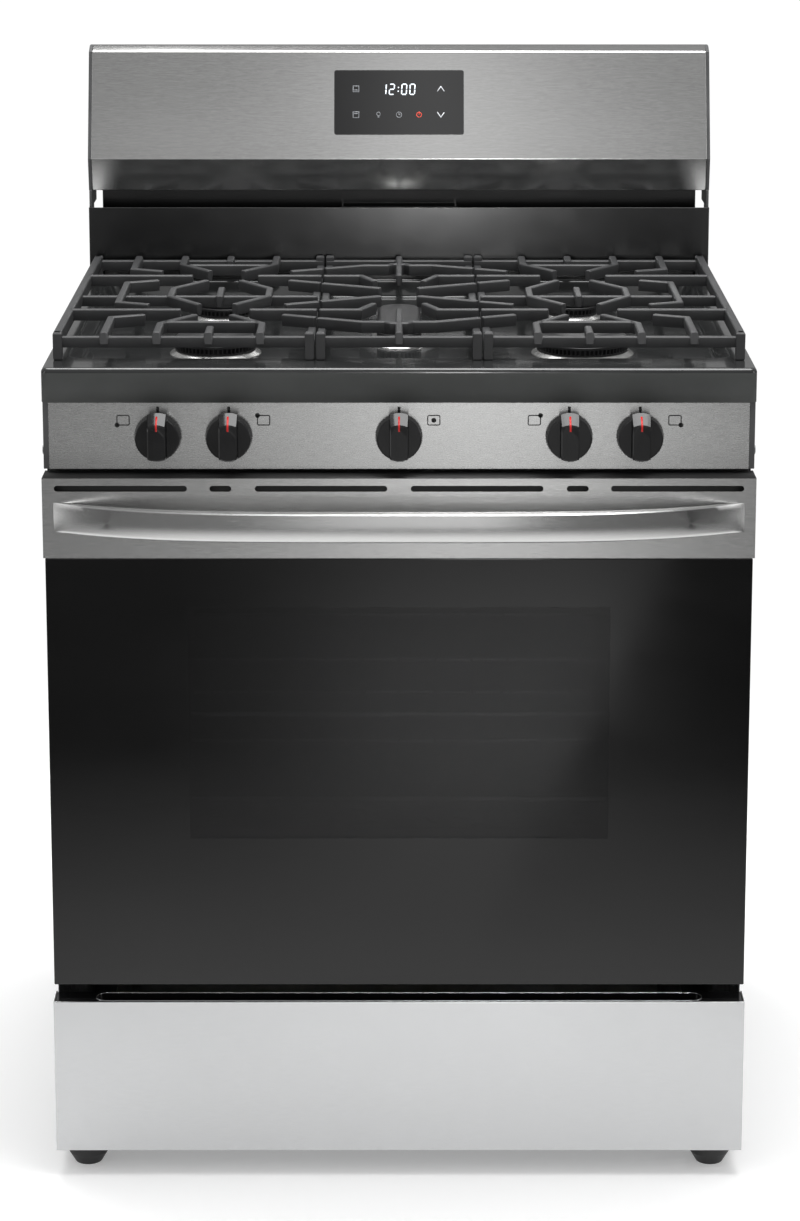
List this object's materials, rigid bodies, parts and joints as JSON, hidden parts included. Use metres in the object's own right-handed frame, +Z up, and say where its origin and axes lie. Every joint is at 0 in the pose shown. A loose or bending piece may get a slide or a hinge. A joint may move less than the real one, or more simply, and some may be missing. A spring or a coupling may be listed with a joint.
{
  "type": "gas range",
  "caption": "Freestanding gas range with cast-iron grates, a drop-down oven door with a bow handle, front knobs, a storage drawer and a sloped backguard.",
  "frame": {"origin": "centre of the outer box on the floor", "axes": "+X to the right seen from the front, +Y to the back, +Z up"},
  "size_m": [0.762, 0.72, 1.186],
  "materials": {
    "side_panel_left": "black enamel, satin",
    "side_panel_right": "black enamel, satin",
    "back_panel": "galvanised sheet",
    "base_frame": "black painted steel",
    "levelling_feet": "black moulded feet on threaded studs",
    "front_frame": "black porcelain enamel",
    "oven_liner": "dark speckled porcelain enamel",
    "oven_insulation": "glass wool",
    "oven_floor": "dark speckled porcelain enamel",
    "bake_burner": "aluminised steel tube",
    "broil_burner": "aluminised steel tube and shield",
    "oven_igniters": "unglazed ceramic",
    "oven_lamp": "clear lamp cover",
    "door_gasket": "woven glass-fibre rope",
    "hinge_brackets": "zinc-plated steel",
    "cooktop": "dark grey gloss porcelain enamel",
    "burner_heads": "cast aluminium",
    "spark_electrodes": "white ceramic with a steel tip",
    "burner_tubes": "drawn aluminium tube",
    "gas_manifold": "steel pipe",
    "gas_valves": "cast brass",
    "control_panel": "brushed steel, horizontal grain",
    "end_caps": "dark grey painted trim",
    "side_screws": "plated screw heads",
    "backguard_panel": "black gloss enamel",
    "flue_duct": "black painted steel",
    "console_shell": "brushed steel, horizontal grain",
    "console_cover": "galvanised sheet",
    "touch_glass": "black glass over a lit display",
    "power_gland": "black moulded bushing",
    "drawer_tracks": "zinc-plated steel",
    "door_glass": "black-printed glass with a dark clear window",
    "door_steel_strip": "brushed steel, horizontal grain",
    "door_handle": "satin steel bar",
    "door_frame": "coated steel channel",
    "door_liner": "dark speckled porcelain enamel",
    "door_inner_glass": "clear heat-reflecting glass",
    "drawer_front": "brushed steel, horizontal grain",
    "drawer_box": "galvanised sheet",
    "drawer_pull": "black gloss moulding",
    "oven_rack_upper": "chrome-plated wire",
    "oven_rack_lower": "chrome-plated wire",
    "grate_left": "matte black enamelled cast iron",
    "grate_middle": "matte black enamelled cast iron",
    "grate_right": "matte black enamelled cast iron",
    "cap_front_left": "matte black enamelled cast iron",
    "cap_rear_left": "matte black enamelled cast iron",
    "cap_front_right": "matte black enamelled cast iron",
    "cap_rear_right": "matte black enamelled cast iron",
    "cap_middle": "matte black enamelled cast iron",
    "valve_stem_1": "turned steel",
    "knob_1": "black moulded plastic",
    "valve_stem_2": "turned steel",
    "knob_2": "black moulded plastic",
    "valve_stem_3": "turned steel",
    "knob_3": "black moulded plastic",
    "valve_stem_4": "turned steel",
    "knob_4": "black moulded plastic",
    "valve_stem_5": "turned steel",
    "knob_5": "black moulded plastic"
  },
  "bodies": {
    "body": {"side_panel_left": "side_panel_left", "side_panel_right": "side_panel_right", "back_panel": "back_panel", "base_frame": "base_frame", "levelling_feet": "levelling_feet", "front_frame": "front_frame", "oven_liner": "oven_liner", "oven_insulation": "oven_insulation", "oven_floor": "oven_floor", "bake_burner": "bake_burner", "broil_burner": "broil_burner", "oven_igniters": "oven_igniters", "oven_lamp": "oven_lamp", "door_gasket": "door_gasket", "hinge_brackets": "hinge_brackets", "cooktop": "cooktop", "burner_heads": "burner_heads", "spark_electrodes": "spark_electrodes", "burner_tubes": "burner_tubes", "gas_manifold": "gas_manifold", "gas_valves": "gas_valves", "control_panel": "control_panel", "end_caps": "end_caps", "side_screws": "side_screws", "backguard_panel": "backguard_panel", "flue_duct": "flue_duct", "console_shell": "console_shell", "console_cover": "console_cover", "touch_glass": "touch_glass", "power_gland": "power_gland", "drawer_tracks": "drawer_tracks"},
    "door": {"door_glass": "door_glass", "door_steel_strip": "door_steel_strip", "door_handle": "door_handle", "door_frame": "door_frame", "door_liner": "door_liner", "door_inner_glass": "door_inner_glass"},
    "drawer": {"drawer_front": "drawer_front", "drawer_box": "drawer_box", "drawer_pull": "drawer_pull"},
    "upper_rack": {"oven_rack_upper": "oven_rack_upper"},
    "lower_rack": {"oven_rack_lower": "oven_rack_lower"},
    "left_grate": {"grate_left": "grate_left"},
    "middle_grate": {"grate_middle": "grate_middle"},
    "right_grate": {"grate_right": "grate_right"},
    "front_left_cap": {"cap_front_left": "cap_front_left"},
    "rear_left_cap": {"cap_rear_left": "cap_rear_left"},
    "front_right_cap": {"cap_front_right": "cap_front_right"},
    "rear_right_cap": {"cap_rear_right": "cap_rear_right"},
    "middle_cap": {"cap_middle": "cap_middle"},
    "stem_1": {"valve_stem_1": "valve_stem_1"},
    "knob_1": {"knob_1": "knob_1"},
    "stem_2": {"valve_stem_2": "valve_stem_2"},
    "knob_2": {"knob_2": "knob_2"},
    "stem_3": {"valve_stem_3": "valve_stem_3"},
    "knob_3": {"knob_3": "knob_3"},
    "stem_4": {"valve_stem_4": "valve_stem_4"},
    "knob_4": {"knob_4": "knob_4"},
    "stem_5": {"valve_stem_5": "valve_stem_5"},
    "knob_5": {"knob_5": "knob_5"}
  },
  "joints": [
    {"name": "door_hinge", "type": "hinge", "parent": "body", "child": "door", "pos_m": [0, -0.279, 0.244], "axis": [1, 0, 0], "range_deg": [0, 90], "stiffness_Nm_per_rad": 9, "springref_deg": -28.65},
    {"name": "drawer_slide", "type": "slide", "parent": "body", "child": "drawer", "axis": [0, -1, 0], "range_m": [0, 0.42]},
    {"name": "rack_slide_upper", "type": "slide", "parent": "body", "child": "upper_rack", "axis": [0, -1, 0], "range_m": [0, 0.283]},
    {"name": "rack_slide_lower", "type": "slide", "parent": "body", "child": "lower_rack", "axis": [0, -1, 0], "range_m": [0, 0.283]},
    {"name": "grate_lift_left", "type": "slide", "parent": "body", "child": "left_grate", "axis": [0, 0, 1], "range_m": [0, 0.08]},
    {"name": "grate_lift_middle", "type": "slide", "parent": "body", "child": "middle_grate", "axis": [0, 0, 1], "range_m": [0, 0.08]},
    {"name": "grate_lift_right", "type": "slide", "parent": "body", "child": "right_grate", "axis": [0, 0, 1], "range_m": [0, 0.08]},
    {"name": "cap_lift_front_left", "type": "slide", "parent": "body", "child": "front_left_cap", "axis": [0, 0, 1], "range_m": [0, 0.04]},
    {"name": "cap_lift_rear_left", "type": "slide", "parent": "body", "child": "rear_left_cap", "axis": [0, 0, 1], "range_m": [0, 0.04]},
    {"name": "cap_lift_front_right", "type": "slide", "parent": "body", "child": "front_right_cap", "axis": [0, 0, 1], "range_m": [0, 0.04]},
    {"name": "cap_lift_rear_right", "type": "slide", "parent": "body", "child": "rear_right_cap", "axis": [0, 0, 1], "range_m": [0, 0.04]},
    {"name": "cap_lift_middle", "type": "slide", "parent": "body", "child": "middle_cap", "axis": [0, 0, 1], "range_m": [0, 0.04]},
    {"name": "knob_1_turn", "type": "hinge", "parent": "body", "child": "stem_1", "pos_m": [-0.2565, -0.28, 0.833], "axis": [0, -1, 0], "range_deg": [0, 235]},
    {"name": "knob_1_push", "type": "slide", "parent": "stem_1", "child": "knob_1", "axis": [0, 1, 0], "range_m": [0, 0.003], "stiffness_N_per_m": 900, "springref_m": -0.002},
    {"name": "knob_2_turn", "type": "hinge", "parent": "body", "child": "stem_2", "pos_m": [-0.181, -0.28, 0.833], "axis": [0, -1, 0], "range_deg": [0, 235]},
    {"name": "knob_2_push", "type": "slide", "parent": "stem_2", "child": "knob_2", "axis": [0, 1, 0], "range_m": [0, 0.003], "stiffness_N_per_m": 900, "springref_m": -0.002},
    {"name": "knob_3_turn", "type": "hinge", "parent": "body", "child": "stem_3", "pos_m": [0, -0.28, 0.833], "axis": [0, -1, 0], "range_deg": [0, 235]},
    {"name": "knob_3_push", "type": "slide", "parent": "stem_3", "child": "knob_3", "axis": [0, 1, 0], "range_m": [0, 0.003], "stiffness_N_per_m": 900, "springref_m": -0.002},
    {"name": "knob_4_turn", "type": "hinge", "parent": "body", "child": "stem_4", "pos_m": [0.181, -0.28, 0.833], "axis": [0, -1, 0], "range_deg": [0, 235]},
    {"name": "knob_4_push", "type": "slide", "parent": "stem_4", "child": "knob_4", "axis": [0, 1, 0], "range_m": [0, 0.003], "stiffness_N_per_m": 900, "springref_m": -0.002},
    {"name": "knob_5_turn", "type": "hinge", "parent": "body", "child": "stem_5", "pos_m": [0.2565, -0.28, 0.833], "axis": [0, -1, 0], "range_deg": [0, 235]},
    {"name": "knob_5_push", "type": "slide", "parent": "stem_5", "child": "knob_5", "axis": [0, 1, 0], "range_m": [0, 0.003], "stiffness_N_per_m": 900, "springref_m": -0.002}
  ],
  "couplings": [
    {"joint": "rack_slide_upper", "follows": "door_hinge", "m_per_rad": 0.18},
    {"joint": "rack_slide_lower", "follows": "door_hinge", "m_per_rad": 0.18},
    {"joint": "cap_lift_front_left", "follows": "grate_lift_left", "ratio": 0.5},
    {"joint": "cap_lift_rear_left", "follows": "grate_lift_left", "ratio": 0.5},
    {"joint": "cap_lift_front_right", "follows": "grate_lift_right", "ratio": 0.5},
    {"joint": "cap_lift_rear_right", "follows": "grate_lift_right", "ratio": 0.5},
    {"joint": "cap_lift_middle", "follows": "grate_lift_middle", "ratio": 0.5}
  ]
}
